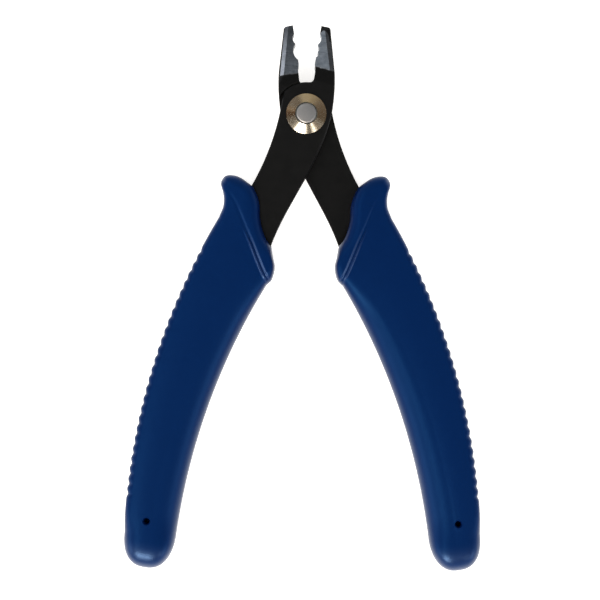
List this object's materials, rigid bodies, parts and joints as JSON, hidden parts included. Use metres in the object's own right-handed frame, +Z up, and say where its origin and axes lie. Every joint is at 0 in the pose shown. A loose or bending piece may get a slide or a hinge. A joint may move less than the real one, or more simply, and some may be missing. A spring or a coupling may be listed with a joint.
{
  "type": "crimping pliers",
  "caption": "Open crimping pliers for jewellery: black steel arms crossed at a riveted, collared lap, notched ground jaws and navy moulded grips with flared guards.",
  "frame": {"origin": "on the bench, under the centre of the bounding box of the open tool lying on its side", "axes": "+Y towards the jaw tips, +Z up along the pivot pin, +X to the right seen from above"},
  "size_m": [0.0844, 0.1286, 0.0114],
  "materials": {
    "black_steel": "black oxide, with the nose flats ground bright",
    "rivet_steel": "ground flat, slightly domed",
    "turned_steel": "turned and polished",
    "spring_steel": "bright drawn wire",
    "grip_plastic": "satin moulded, navy blue"
  },
  "bodies": {
    "rear_half": {"rear_arm": "black_steel", "right_grip": "grip_plastic", "pivot_rivet": "rivet_steel", "front_collar": "turned_steel", "rear_collar": "turned_steel", "return_spring": "spring_steel"},
    "front_half": {"front_arm": "black_steel", "left_grip": "grip_plastic"}
  },
  "joints": [
    {"name": "jaw_pivot", "type": "hinge", "parent": "rear_half", "child": "front_half", "pos_m": [0, 0.04331, 0.0057], "axis": [0, 0, 1], "range_deg": [0, 18], "stiffness_Nm_per_rad": 0.05, "deforming": ["return_spring"]}
  ]
}
